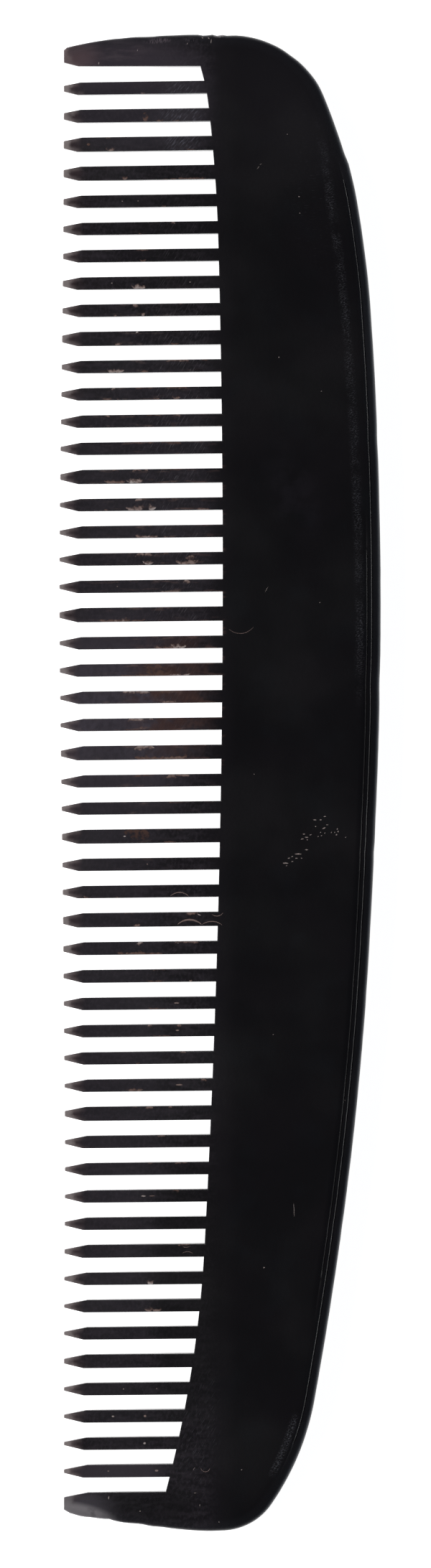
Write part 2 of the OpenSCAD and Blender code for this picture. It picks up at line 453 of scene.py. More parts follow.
# The bevel takes depth off over its length, and runs on in the same line past the tip
run = add(saw, "ShaderNodeMath", {0: bevel, 1: given["Past Tips mm"]}, operation="ADD")
run = add(saw, "ShaderNodeMath", {0: run, 1: bevel}, operation="DIVIDE")
run = add(saw, "ShaderNodeMath", {0: run, 1: depth}, operation="MULTIPLY")
# Counts the stations 0, 1, 2 from the saw's end. The quarter keeps each number clear of rounding.
station = add(saw, "ShaderNodeMath", {0: 1.25, 1: tool["X"]}, operation="SUBTRACT")
picked = []
for values in ((saw_end, mouth, beyond), (0.0, 0.0, run)):
    pick = add(saw, "GeometryNodeIndexSwitch", {"Index": station}, data_type="FLOAT")
    pick.index_switch_items.new()
    picked.append(fill(saw, pick, {k + 1: value for k, value in enumerate(values)}))
x, widen = picked
lean = add(saw, "ShaderNodeMath", {0: x, 1: ROW_PIVOT_X}, operation="SUBTRACT")
lean = add(saw, "ShaderNodeMath", {0: lean, 1: slope, 2: line_y}, operation="MULTIPLY_ADD")
y = add(saw, "ShaderNodeMath", {0: widen, 1: tool["Y"], 2: lean}, operation="MULTIPLY_ADD")
reach = add(saw, "ShaderNodeMath", {0: given["Past Faces mm"], 1: PLATE_T / 2}, operation="ADD")
z = add(saw, "ShaderNodeMath", {0: tool["Z"], 1: reach, 2: PLATE_T / 2}, operation="MULTIPLY_ADD")
spot = add(saw, "ShaderNodeCombineXYZ", {"X": x, "Y": y, "Z": z})
spot = add(saw, "ShaderNodeVectorMath", {0: spot, "Scale": MM}, operation="SCALE")
bars = add(saw, "GeometryNodeSetPosition", {"Geometry": bars, "Position": spot})

sawn = add(saw, "GeometryNodeMeshBoolean", {0: given["Blank"], 1: bars},
           operation="DIFFERENCE", solver="MANIFOLD")
sawn = add(saw, "GeometryNodeSetMaterial", {"Geometry": sawn, "Material": given["Finish"]})
sawn = add(saw, "GeometryNodeRealizeInstances", {"Geometry": sawn})
add(saw, "NodeGroupOutput", {"Comb": sawn})
print("saw tree:", len(saw.nodes), "nodes")

# %% Saw the blank
def bake(source, name):
    """A plain mesh object from the evaluated one, which is then removed with its modifiers."""
    bpy.context.view_layer.update()
    ready = source.evaluated_get(bpy.context.evaluated_depsgraph_get())
    mesh = bpy.data.meshes.new_from_object(ready)
    for k in reversed(range(len(mesh.materials))):
        if mesh.materials[k] is None:
            mesh.materials.pop(index=k)
    bpy.data.objects.remove(source)
    made = bpy.data.objects.new(name, mesh)
    mesh.name = name
    bpy.context.scene.collection.objects.link(made)
    return made


def run_tree(tree, source, values, name):
    """Runs a tree on an object, with its inputs set by their identifiers, and bakes the result."""
    modifier = source.modifiers.new(tree.name, "NODES")
    modifier.node_group = tree
    for socket in tree.interface.items_tree:
        if socket.in_out == "INPUT" and socket.name in values:
            modifier[socket.identifier] = values[socket.name]
    return bake(source, name)


horn = bpy.data.materials.new("polished black horn")
comb = run_tree(saw, blank, {"Saw Marks": saw_marks, "Past Tips mm": 0.1, "Past Faces mm": 1.0,
                             "File Wander": 0.05, "Seed": 7, "Finish": horn}, "sawn_comb")
bpy.data.objects.remove(saw_marks)
print("sawn comb:", len(comb.data.polygons), "faces,", open_edges(comb.data), "open edges")

# %% [markdown]
# ## Softening the arrises
# Fresh saw cuts are sharp. The maker runs a strip of cloth with ash or pumice between the teeth,
# which rounds every arris by about a tenth of a millimetre. This fine rounding is what catches
# the light along each tooth. The cloth doesn't reach the inner corners at the roots, so they stay
# square: we weigh the edges ourselves, every sharp one but those, and a Bevel modifier limited
# by weight rounds them. Hardened normals keep the flat faces flat in the reflection.

# %% Round the arrises
# Size of the rounding, the angle from which an edge counts as sharp, and how upright a corner at
# a root stands, from 0 for level to 1
ARRIS_MM, SHARP_ANGLE, UPRIGHT = 0.11, 35, 0.9
shape = bmesh.new()
shape.from_mesh(comb.data)
weight = shape.edges.layers.float.new("bevel_weight_edge")
for edge in shape.edges:
    direction = (edge.verts[0].co - edge.verts[1].co).normalized()
    root_corner = abs(direction.z) > UPRIGHT and not edge.is_convex
    if edge.calc_face_angle(0) > math.radians(SHARP_ANGLE) and not root_corner:
        edge[weight] = 1
print("edges to round:", sum(1 for edge in shape.edges if edge[weight] > 0), "of", len(shape.edges))
shape.to_mesh(comb.data)
shape.free()
soften = comb.modifiers.new("soften", "BEVEL")
soften.width = ARRIS_MM * MM
soften.segments = 3
soften.limit_method = "WEIGHT"
soften.use_clamp_overlap = False
soften.harden_normals = True
for polygon in comb.data.polygons:
    polygon.use_smooth = True
comb = bake(comb, "comb")
print("comb:", len(comb.data.polygons), "faces,", open_edges(comb.data), "open edges")

# %% [markdown]
# ## Lifted flakes
# Horn grows in thin sheets. The saw tears small chips out of the topmost one beside its cuts,
# and years of use lift flakes elsewhere: a slanting cluster of short flecks on the back, pale
# crescents at two tooth roots, a curled scratch and some specks. A pattern could only scatter
# such marks. Here each has its own place, so charts say where it lies, how large it
# is and how pale. A node tree sets a flat lens on each mark, sunk in the face all but a hair's
# breadth, and a noise makes its rim ragged. The flakes are the same horn, so they take its finish.

# %% Chart of the flakes
# x, y, length, width, turn in degrees, all from the middle of the comb in mm
FLAKES = [
    # The cluster on the back
    (11.4, -4.5, 0.48, 0.15, 0), (12.1, -4.5, 0.30, 0.15, 0), (12.6, -4.1, 0.38, 0.09, 10),
    (11.5, -5.3, 0.20, 0.12, 0), (12.9, -5.1, 0.34, 0.09, 5), (12.5, -5.5, 0.46, 0.14, 22),
    (10.1, -6.2, 0.34, 0.12, 0), (10.9, -6.3, 0.32, 0.12, 10), (10.4, -6.6, 0.48, 0.14, 0),
    (9.9, -6.8, 0.40, 0.13, 12), (10.5, -6.9, 0.18, 0.10, 0), (12.1, -6.0, 0.24, 0.10, 30),
    (11.8, -6.5, 0.24, 0.10, 20), (12.2, -6.4, 0.20, 0.09, 20), (12.6, -6.1, 0.20, 0.08, 60),
    (14.1, -5.6, 0.22, 0.12, 60), (14.2, -5.9, 0.26, 0.14, 95), (14.0, -6.3, 0.24, 0.16, 20),
    (13.8, -6.0, 0.18, 0.10, 70), (13.4, -6.0, 0.22, 0.10, 60), (15.1, -6.6, 0.16, 0.11, 0),
    (10.4, -8.1, 0.42, 0.14, 0), (9.4, -8.6, 0.95, 0.15, 0), (8.7, -8.9, 0.32, 0.12, 15),
    (8.3, -9.1, 0.36, 0.13, 12), (9.2, -9.1, 0.32, 0.14, 0), (9.8, -9.1, 0.20, 0.10, 0),
    (8.7, -9.5, 0.28, 0.12, 20), (7.9, -9.7, 0.78, 0.15, 0), (8.0, -10.0, 0.22, 0.09, 20),
    # Chips by two saw cuts
    (-2.5, -15.9, 0.55, 0.13, -25), (-5.0, -19.3, 0.7, 0.12, 0), (-4.2, -19.3, 0.5, 0.1, 0),
    # Straight scratches on the back
    (8.9, -51.4, 1.9, 0.05, 92), (5.6, 23.2, 0.9, 0.04, 60), (4.6, 73.9, 0.5, 0.05, 55),
    (4.9, 74.3, 0.4, 0.04, 20),
    # Single specks
    (7.1, 51.1, 0.18, 0.14, 0), (12.2, 47.0, 0.14, 0.10, 0), (4.1, 1.0, 0.16, 0.12, 0),
    (5.3, -58.3, 0.24, 0.16, 30), (12.0, 21.6, 0.12, 0.09, 0), (2.6, -82.6, 0.16, 0.12, 0),
    (15.0, -38.2, 0.12, 0.10, 0), (9.6, 68.4, 0.14, 0.11, 0), (6.4, -30.3, 0.11, 0.09, 0),
    (8.1, 77.9, 0.14, 0.10, 0), (9.5, 70.4, 0.2, 0.14, 20),
    # The upper guard tooth and the chipped edge behind it
    (-14.55, 86.45, 0.35, 0.12, 85), (-1.05, 89.1, 0.65, 0.09, 84), (-2.1, 89.5, 0.3, 0.14, -45),
    (-1.35, 89.45, 0.3, 0.12, -40), (-3.9, 88.8, 0.25, 0.08, 70), (-9.9, 88.0, 0.25, 0.07, 85),
    # The lower guard tooth and the foot of the back
    (-13.35, -86.0, 0.5, 0.12, 85), (-3.0, -85.4, 0.35, 0.06, 10), (-2.4, -86.9, 0.35, 0.05, 100),
    (-0.1, -88.9, 0.25, 0.10, 90), (-9.6, -87.6, 0.2, 0.12, 10), (-3.1, -82.5, 0.5, 0.04, 55),
]

# x and y of the centre, radius, first angle, turn, width in the middle
FLAKE_ARCS = [
    # Crescents at the roots of the lower middle teeth
    (-4.85, -14.75, 1.54, 132, -84, 0.13), (-3.64, -18.59, 2.09, 131, -82, 0.26),
    (-0.97, -18.66, 1.96, 125, -72, 0.12), (-0.36, -15.16, 0.90, 235, 85, 0.10),
    (-4.07, -54.87, 1.00, 238, 64, 0.07), (-3.90, -57.50, 1.10, 120, -62, 0.07),
    # Curled scratches
    (2.45, 19.90, 2.00, 228, 92, 0.06), (-1.75, -82.30, 0.55, 200, 140, 0.08),
]

# Tooth, edge of the tooth (1 upper, -1 lower, 0 between them), x where the chip begins and ends,
# how deep it reaches into the tooth, and its tone from rusty 0 to pale 1
CHIPS = [
    (1, -1, -9.5, -9.0, 0.15, 0.7), (2, -1, -9.3, -8.6, 0.65, 0.4), (2, -1, -7.8, -6.8, 0.2, 0.5),
    (2, -1, -5.7, -4.9, 0.15, 0.5), (3, -1, -13.7, -12.6, 0.35, 0.8), (3, 1, -13.7, -13.1, 0.15, 0.6),
    (3, 0, -16.0, -15.6, 0.4, 0.4), (3, -1, -4.0, -2.9, 0.15, 0.5), (4, -1, -11.8, -11.1, 0.4, 0.6),
    (4, -1, -4.9, -1.8, 0.2, 0.4), (4, -1, -7.0, -5.3, 0.12, 0.4), (5, 0, -11.8, -11.65, 0.15, 0.7),
    (5, 0, -9.9, -9.75, 0.15, 0.7), (5, -1, -7.0, -6.4, 0.15, 0.6), (6, 1, -5.9, -5.4, 0.2, 0.7),
    (6, -1, -9.8, -9.4, 0.12, 0.6), (7, 1, -9.9, -8.7, 0.2, 0.6), (7, -1, -9.6, -8.9, 0.2, 0.5),
    (8, -1, -10.4, -9.0, 0.45, 0.75), (8, 0, -13.05, -12.9, 0.15, 0.8), (8, 0, -3.65, -3.5, 0.15, 0.8),
    (9, 1, -10.6, -9.8, 0.3, 0.8), (9, -1, -9.5, -9.0, 0.35, 0.85), (9, -1, -12.8, -12.4, 0.15, 0.6),
    (9, 1, -4.9, -4.5, 0.12, 0.6), (10, 1, -10.1, -9.75, 0.18, 1.0), (10, -1, -12.8, -11.8, 0.25, 0.7),
    (10, -1, -5.9, -4.9, 0.2, 0.3), (11, 1, -6.1, -3.8, 0.25, 0.6), (11, -1, -13.4, -11.7, 0.4, 0.75),
    (11, -1, -9.6, -8.5, 0.2, 0.5), (11, 1, -2.3, -1.2, 0.15, 0.4), (12, 1, -13.05, -12.4, 0.25, 0.75),
    (12, 1, -6.2, -4.0, 0.2, 0.5), (12, 1, -10.0, -7.9, 0.15, 0.4), (12, -1, -14.1, -13.0, 0.2, 0.5),
    (12, -1, -5.7, -4.7, 0.35, 0.55), (12, -1, -8.0, -7.2, 0.15, 0.5), (12, -1, -12.4, -12.1, 0.2, 0.7),
    (13, 1, -13.9, -13.2, 0.2, 0.6), (13, 1, -8.7, -7.2, 0.2, 0.5), (13, 1, -5.7, -4.6, 0.25, 0.6),
    (14, 1, -7.0, -4.8, 0.25, 0.3), (14, 1, -8.7, -7.9, 0.2, 0.5), (14, 1, -10.9, -9.6, 0.15, 0.3),
    (15, -1, -11.0, -9.5, 0.55, 0.85), (15, -1, -13.5, -11.6, 0.35, 0.6), (15, 1, -10.5, -9.4, 0.25, 0.7),
    (15, 1, -13.05, -12.2, 0.25, 0.6), (15, 1, -9.2, -8.6, 0.2, 0.7), (15, 1, -7.0, -5.0, 0.15, 0.4),
    (16, -1, -11.0, -9.4, 0.45, 0.75), (16, -1, -8.7, -7.7, 0.5, 0.85), (16, 1, -10.2, -9.2, 0.35, 0.8),
    (16, -1, -13.9, -13.3, 0.2, 0.5), (16, -1, -2.7, -1.0, 0.25, 0.6), (17, -1, -10.0, -7.6, 0.3, 0.75),
    (17, -1, -6.75, -6.1, 0.15, 0.6), (17, 1, -8.8, -8.1, 0.15, 0.5), (18, 1, -9.9, -8.3, 0.45, 0.75),
    (18, -1, -9.2, -8.0, 0.45, 0.85), (18, -1, -4.85, -2.85, 0.55, 0.7), (18, 1, -6.75, -6.15, 0.15, 0.6),
    (19, 1, -4.4, -3.6, 0.4, 0.85), (19, -1, -7.0, -5.0, 0.2, 0.7), (19, 0, -12.4, -12.25, 0.15, 0.7),
    (20, -1, -14.2, -9.2, 0.3, 0.5), (20, -1, -12.9, -11.2, 0.4, 0.7), (21, -1, -7.6, -5.7, 0.3, 0.6),
    (21, -1, -5.8, -4.2, 0.4, 0.8), (22, -1, -8.7, -5.5, 0.7, 0.3), (22, -1, -6.0, -3.8, 0.35, 0.8),
    (22, -1, -11.7, -8.7, 0.2, 0.4), (22, 1, -9.2, -7.9, 0.2, 0.3), (23, 1, -11.6, -8.7, 0.35, 0.8),
    (23, -1, -7.0, -5.3, 0.3, 0.65), (23, 1, -7.0, -4.8, 0.25, 0.3), (24, 1, -10.9, -9.2, 0.3, 0.75),
    (24, -1, -9.6, -8.7, 0.4, 0.7), (24, 1, -8.5, -8.0, 0.2, 0.7), (24, -1, -11.3, -7.9, 0.15, 0.4),
    (24, 1, -7.5, -4.5, 0.3, 0.25), (25, 1, -10.0, -8.1, 0.4, 0.75), (25, -1, -10.0, -4.2, 0.35, 0.5),
    (25, 1, -6.6, -0.8, 0.1, 0.6), (26, 1, -6.1, -3.8, 0.35, 0.65), (26, 1, -10.0, -7.9, 0.2, 0.4),
    (27, 1, -6.2, -5.7, 0.15, 0.5), (28, 1, -11.3, -8.7, 0.8, 0.15), (28, 0, -11.6, -11.3, 0.2, 0.9),
    (28, -1, -6.6, -5.3, 0.2, 0.5), (29, 0, -8.8, -8.65, 0.2, 0.7), (30, -1, -16.4, -15.5, 0.25, 0.6),
    (30, -1, -12.6, -12.2, 0.15, 0.5), (31, -1, -10.5, -9.6, 0.25, 0.7), (31, 1, -4.0, -2.7, 0.3, 0.6),
    (31, 1, -11.6, -10.5, 0.15, 0.4), (32, -1, -12.2, -7.0, 0.28, 0.5), (32, -1, -10.2, -9.5, 0.4, 1.0),
    (32, 1, -10.0, -9.1, 0.3, 0.8), (32, 1, -5.3, -2.7, 0.2, 0.7), (33, -1, -8.7, -7.0, 0.3, 0.35),
    (33, -1, -3.8, -3.3, 0.2, 0.7), (33, 1, -7.9, -6.7, 0.15, 0.4), (34, -1, -8.3, -6.6, 0.2, 0.3),
    (34, 0, -5.5, -4.9, 0.2, 0.7), (35, 1, -8.7, -8.1, 0.25, 0.7), (35, -1, -7.9, -6.1, 0.15, 0.5),
    (35, 0, -5.3, -4.9, 0.25, 0.6), (35, 1, -5.2, -4.6, 0.25, 0.7), (36, 1, -4.85, -4.0, 0.2, 0.8),
    (36, -1, -10.2, -9.6, 0.15, 0.5), (37, -1, -10.9, -9.4, 0.3, 0.6), (37, 0, -5.3, -4.5, 0.25, 0.6),
    (37, 1, -2.3, -1.6, 0.3, 0.6), (38, 1, -9.0, -7.9, 0.3, 0.6), (38, 1, -10.5, -9.9, 0.15, 0.6),
    (38, 1, -6.2, -5.7, 0.2, 0.6), (39, 1, -7.5, -6.4, 0.15, 0.6), (40, 1, -8.7, -8.0, 0.15, 0.5),
    (40, 1, -5.3, -4.0, 0.2, 0.55), (41, 0, -9.45, -8.9, 0.2, 0.9), (41, 0, -8.5, -7.8, 0.12, 0.6),
    (41, 1, -5.7, -4.9, 0.25, 0.45), (43, 1, -4.85, -3.6, 0.2, 0.6), (44, -1, -8.8, -7.9, 0.4, 0.9),
    (45, -1, -8.9, -7.2, 0.45, 0.6), (48, 0, -11.65, -11.5, 0.2, 0.8), (48, 0, -7.65, -7.5, 0.15, 0.7),
    (49, 0, -13.0, -12.7, 0.25, 0.9), (49, 0, -9.15, -8.85, 0.35, 0.7), (50, 0, -9.2, -8.9, 0.3, 0.9),
    (51, 0, -13.5, -13.3, 0.2, 0.7), (51, 0, -7.8, -7.4, 0.3, 0.7),
]

print("charted:", len(FLAKES), "flakes,", len(FLAKE_ARCS), "arcs and", len(CHIPS), "chips")

# %% Lay out the flakes
# Tones of a fleck and of a curled one, and the depth that marks them as no chip at a cut
FLECK_TONE, CURL_TONE, FLECK = 0.82, 0.62, 0.01
# A curl is a row of flakes of one length, and so is a long chip: the flakes' length in a curl,
# their distance in it, and their distance in a chip
CURL_LONG, CURL_STEP, CHIP_STEP = 0.38, 0.14, 0.8
# What is left between a flake and the saw cut beside it
CUT_MARGIN = 0.03
laid = [(*row, FLECK_TONE, FLECK) for row in FLAKES]
for x, y, radius, first, turn, width in FLAKE_ARCS:
    # A curl has three flakes at least, and they are widest in its middle
    pieces = max(3, round(radius * math.radians(abs(turn)) / CURL_STEP))
    for i in range(pieces):
        t = (i + 0.5) / pieces
        angle = math.radians(first + turn * t)
        laid.append((x + radius * math.cos(angle), y + radius * math.sin(angle), CURL_LONG,
                     width * (0.4 + 0.6 * math.sin(math.pi * t)), math.degrees(angle) + 90,
                     CURL_TONE, FLECK))

# The flakes of a long chip overlap: they differ from its depth and from an even share of its
# length by these factors, and a lone flake by one more pair. All differ a little in tone.
DEPTHS, LENGTHS, TONES = (0.7, 1.3), (1.6, 2.2), (0.85, 1.1)
LONE_DEPTH, LONE_LENGTH = 1.1, 1.2
# A flake at a cut is wider than its chip, which fades out on it. One between cuts is narrower.
WIDER, WIDER_MM, NARROWER = 1.5, 0.1, 0.9
chance = np.random.default_rng(5)
for tooth, edge, start, end, deep, tone in CHIPS:
    pieces = max(1, round((end - start) / CHIP_STEP))
    for i in range(pieces):
        x = start + (end - start) * (i + 0.5) / pieces
        reach = deep * (chance.uniform(*DEPTHS) if pieces > 1 else LONE_DEPTH)
        length = (end - start) / pieces * (chance.uniform(*LENGTHS) if pieces > 1 else LONE_LENGTH)
        width = reach * WIDER + WIDER_MM if edge else deep * NARROWER
        lean = (x - ROW_PIVOT_X) * RISE
        upper, lower = cut_tops[tooth - 1] - KERF + lean, cut_tops[tooth] + lean
        y = {1: upper - CUT_MARGIN - width / 2, -1: lower + CUT_MARGIN + width / 2,
             0: (upper + lower) / 2}[edge]
        paleness = tone * chance.uniform(*TONES)
        laid.append((x, y, length, width, TOOTH_SLOPE, paleness, reach if edge else FLECK))
print("laid out:", len(laid), "flakes")

# %% Find the face under each flake
# A line dropped on the comb tells how high the face lies there and how it slopes: the height
# that it drops from, and how level a face must be to carry a flake, where 1 is level
DROP_FROM_MM, LEVEL_ENOUGH = 10, 0.7
bpy.context.view_layer.update()
up = Vector((0, 0, 1))
found, lay = [], []
for x, y, length, width, turn, tone, reach in laid:
    hit, point, normal = comb.ray_cast((x * MM, y * MM, DROP_FROM_MM * MM), -up)[:3]
    if hit and normal.z > LEVEL_ENOUGH:
        found.append((*(point / MM), length, width, tone, reach))
        lay.append((up.rotation_difference(normal) @ Quaternion(up, math.radians(turn))).to_euler())
found = np.array(found, dtype=np.float32)
flakes = add_mesh("flakes", found[:, :3], [])
for column, name in enumerate(("long", "wide", "tone", "reach"), start=3):
    write_points(flakes, name, found[:, column])
write_points(flakes, "lay", lay)
print("flakes:", len(found), "of", len(laid), "lie on the horn")

# %% The flakes as a node tree
lift = bpy.data.node_groups.new("lift the flakes", "GeometryNodeTree")
given = name_sockets(lift, {"Marks": "Geometry", "Rise mm": "Float", "Sunk mm": "Float",
                            "Ragged mm": "Float", "Rag Size mm": "Float", "Seed": "Int",
                            "Torn Horn": "Material"}, "Flakes")
long, wide = [add(lift, "GeometryNodeInputNamedAttribute", {"Name": name}, data_type="FLOAT")
              for name in ("long", "wide")]
lay_of = add(lift, "GeometryNodeInputNamedAttribute", {"Name": "lay"}, data_type="FLOAT_VECTOR")
lay_of = add(lift, "FunctionNodeEulerToRotation", {0: lay_of})
# The lens has a radius of one, so length and width are halved. Its own middle lies below the
# face by half of what it is sunk deeper than it rises. It is set hundreds of times, so it has
# only 48 faces.
deep = add(lift, "ShaderNodeMath", {0: given["Rise mm"], 1: given["Sunk mm"]}, operation="ADD")
lower = add(lift, "ShaderNodeMath", {0: given["Rise mm"], 1: given["Sunk mm"]}, operation="SUBTRACT")
lower = add(lift, "ShaderNodeMath", {0: lower, 1: deep}, operation="DIVIDE")
lens = add(lift, "GeometryNodeMeshUVSphere", {"Segments": 12, "Rings": 4, "Radius": 1.0})
lens = add(lift, "GeometryNodeStoreNamedAttribute",
           {"Geometry": lens, "Name": "on_lens", "Value": add(lift, "GeometryNodeInputPosition")},
           data_type="FLOAT_VECTOR")
lens = add(lift, "GeometryNodeSetPosition",
           {"Geometry": lens, "Offset": add(lift, "ShaderNodeCombineXYZ", {"Z": lower})})
size = add(lift, "ShaderNodeCombineXYZ", {"X": long, "Y": wide, "Z": deep})
size = add(lift, "ShaderNodeVectorMath", {0: size, "Scale": 0.5 * MM}, operation="SCALE")
lenses = add(lift, "GeometryNodeInstanceOnPoints",
             {"Points": given["Marks"], "Instance": lens, "Rotation": lay_of, "Scale": size})
lenses = add(lift, "GeometryNodeRealizeInstances", {"Geometry": lenses})
# Noise pushes the rims in and out along the face
here = add(lift, "GeometryNodeInputPosition")
fine = add(lift, "ShaderNodeMath", {0: 1 / MM, 1: given["Rag Size mm"]}, operation="DIVIDE")
rag = add(lift, "ShaderNodeTexNoise", {"Vector": here, "Scale": fine, "Detail": 1.0, "W": given["Seed"]},
          noise_dimensions="4D").outputs["Color"]
rag = add(lift, "ShaderNodeVectorMath", {0: rag, 1: (0.5, 0.5, 0.5)}, operation="SUBTRACT")
rag = add(lift, "ShaderNodeVectorMath", {0: rag, 1: (2 * MM, 2 * MM, 0)}, operation="MULTIPLY")
rag = add(lift, "ShaderNodeVectorMath", {0: rag, "Scale": given["Ragged mm"]}, operation="SCALE")
lenses = add(lift, "GeometryNodeSetPosition", {"Geometry": lenses, "Offset": rag})
lenses = add(lift, "GeometryNodeRealizeInstances", {"Geometry": lenses})
lenses = add(lift, "GeometryNodeSetMaterial", {"Geometry": lenses, "Material": given["Torn Horn"]})
add(lift, "NodeGroupOutput", {"Flakes": lenses})
print("flake tree:", len(lift.nodes), "nodes")

# %% Lift the flakes
flakes = run_tree(lift, flakes, {"Rise mm": 0.007, "Sunk mm": 0.010, "Ragged mm": 0.04,
                                 "Rag Size mm": 0.16, "Seed": 3, "Torn Horn": horn}, "flakes")
print("flakes:", len(flakes.data.polygons), "faces,", open_edges(flakes.data), "open edges")

# %% [markdown]
# ## Distances that the finish follows
# The finish changes with the distance from the edge, from the tips and from the saw cuts. A
# material can't measure those. They could be worked out in nodes, arc by arc, but the outline and
# the cuts are known here, so each point of the mesh carries its three distances as attributes.

# %% Measure the distances from the edge, the tips and the saw cuts
def from_outline(points):
    """How far inside the outline each point lies, in mm."""
    # An arc also counts a little past its ends, in degrees, so no point falls between two arcs
    past = 0.5
    best = np.full(len(points), np.inf)
    for cx, cy, radius, first, turn in outline:
        angle = np.degrees(np.arctan2(points[:, 1] - cy, points[:, 0] - cx))
        step = (first - angle + 180) % 360 - 180
        beside = (step > -past) & (step < turn + past)
        away = np.abs(radius - np.hypot(points[:, 0] - cx, points[:, 1] - cy))
        best = np.where(beside & (away < best), away, best)
    return best


# Nothing on the edge reaches further in than its section. Behind this x, a point's distance from
# the cuts also grows with its distance from the roots.
EDGE_REACH, ROOTS_X = EDGE_SECTION[-1][0], -1.5
cut_sides = np.concatenate([np.array(cut_tops), np.array(cut_tops) - KERF])
for piece in (comb, flakes):
    points = np.empty(len(piece.data.vertices) * 3, dtype=np.float32)
    piece.data.vertices.foreach_get("co", points)
    points = points.reshape(-1, 3) / MM
    edge_mm = np.minimum(from_outline(points), EDGE_REACH)
    level_y = points[:, 1] - (points[:, 0] - ROW_PIVOT_X) * RISE
    to_cut = np.abs(level_y[:, None] - cut_sides[None, :]).min(axis=1)
    write_points(piece, "edge_mm", edge_mm)
    write_points(piece, "tip_mm", points[:, 0] - np.vectorize(tip_x)(points[:, 1]))
    write_points(piece, "cut_mm", to_cut + np.maximum(points[:, 0] - ROOTS_X, 0))
    print(piece.name, "points within 1 mm of the edge:", int((edge_mm < 1).sum()), "of", len(edge_mm))

# %% [markdown]
# ## Polished black horn
# Horn is keratin, like a fingernail, in thin sheets. Black buffalo horn is almost opaque where
# the plate is thick and lets a brown or grey light through where it is thin: at the tips, along
# the arrises and in a few pale streaks. Polishing gives a hard gloss with an IOR near 1.55.
# An image would repeat and go soft, so each layer is a pattern on Object coordinates, scaled
# from a real size in millimetres: clouds in the horn, paler tips, red streaks, pale chips beside
# the saw cuts, and the marks of file, scraper and use.

# %% Colours
# The plate where it is thick, and its darkest clouds
BLACK, DARKEST = "#0f0e11", "#0d0c0e"


def linear(hex_colour):
    """An sRGB hex colour as linear red, green, blue and alpha."""
    parts = [int(hex_colour[i:i + 2], 16) / 255 for i in (1, 3, 5)]
    return (*[c / 12.92 if c <= 0.04045 else ((c + 0.055) / 1.055) ** 2.4 for c in parts], 1.0)


print("black of the plate, linear:", [round(c, 4) for c in linear(BLACK)[:3]])

# %% Places and patterns on the horn
horn.use_nodes = True
finish = horn.node_tree
finish.nodes.clear()
coords = add(finish, "ShaderNodeTexCoord")
place_mm = add(finish, "ShaderNodeVectorMath", {0: coords.outputs["Object"], "Scale": 1 / MM},
               operation="SCALE")
across, up_comb = add(finish, "ShaderNodeSeparateXYZ", {0: place_mm}).outputs[:2]


def oval(x, y, long, wide, turn=0.0, soft=0.3):
    """A soft-edged oval on both faces: 1 in its middle and 0 outside. Sizes are half widths."""
    spot = add(finish, "ShaderNodeVectorMath", {0: place_mm, 1: (x, y, 0)}, operation="SUBTRACT")
    spot = add(finish, "ShaderNodeVectorRotate", {"Vector": spot, "Angle": -math.radians(turn)},
               rotation_type="Z_AXIS")
    spot = add(finish, "ShaderNodeVectorMath", {0: spot, 1: (1 / long, 1 / wide, 0)},
               operation="MULTIPLY")
    spot = add(finish, "ShaderNodeVectorMath", {0: spot}, operation="LENGTH")
    return add(finish, "ShaderNodeMapRange", {0: spot.outputs["Value"], 1: 1.0, 2: soft},
               interpolation_type="SMOOTHSTEP")


def grain(long, thin, turn, low, high, seed, detail=1.0):
    """Marks or clouds drawn out along one direction, long by thin mm, turned from level."""
    line = add(finish, "ShaderNodeVectorRotate", {"Vector": place_mm, "Angle": -math.radians(turn)},
               rotation_type="Z_AXIS")
    line = add(finish, "ShaderNodeVectorMath", {0: line, 1: (1 / long, 1 / thin, 0)},
               operation="MULTIPLY")
    line = add(finish, "ShaderNodeVectorMath", {0: line, 1: (seed, -seed, seed)}, operation="ADD")
    line = add(finish, "ShaderNodeTexNoise", {"Vector": line, "Scale": 1.0, "Detail": detail})
    return add(finish, "ShaderNodeMapRange", {0: line, 1: low, 2: high}, interpolation_type="SMOOTHSTEP")


def clouds(size, low, high, seed):
    """Cloudy unevenness, size mm across: 0 and 1 are reached at low and high."""
    return grain(size, size, 0, low, high, seed, detail=3.0)


def both(*masks):
    """Where all of the masks are strong."""
    product = masks[0]
    for mask in masks[1:]:
        product = add(finish, "ShaderNodeMath", {0: product, 1: mask}, operation="MULTIPLY")
    return product


# %% From the black plate to the pale tips
# x in mm, colour there: the thinner the horn, the more light it holds
THIN_HORN = [
    (-19.4, "#252023"), (-15.5, "#201d20"), (-10.0, "#1c1a1e"), (-6.0, "#1b191c"), (-2.5, "#18161a"),
    (0.0, "#141216"), (2.0, BLACK),
]


def tones(value, chart):
    """A run of colours along a value. Each row of the chart is a value and the colour there."""
    first, last = chart[0][0], chart[-1][0]
    share_of = add(finish, "ShaderNodeMapRange", {0: value, 1: first, 2: last})
    ramp = add(finish, "ShaderNodeValToRGB", {"Fac": share_of})
    stops = ramp.color_ramp.elements
    while len(stops) < len(chart):
        stops.new(0.5)
    # Every stop has its place before the first gets its colour, so none can trade colours
    for stop, (at, shade) in zip(stops, chart):
        stop.position = (at - first) / (last - first)
    for stop, (at, shade) in zip(stops, chart):
        stop.color = linear(shade)
    return ramp.outputs["Color"]


colour = tones(across, THIN_HORN)
print("tones from the tips to the plate:", len(THIN_HORN))

# %% [markdown]
# ## Where light gets into the horn
# Light that enters thick black horn is soaked up. Near an edge, a tip or a saw cut it soon comes
# out again, so the horn looks pale and warm there. A translucent shader could show that, but it
# is slow and leaves noise in such thin fringes. So masks say where the fringes lie: one sends
# rays inwards to find the edges, and the others use the distances that the points carry.

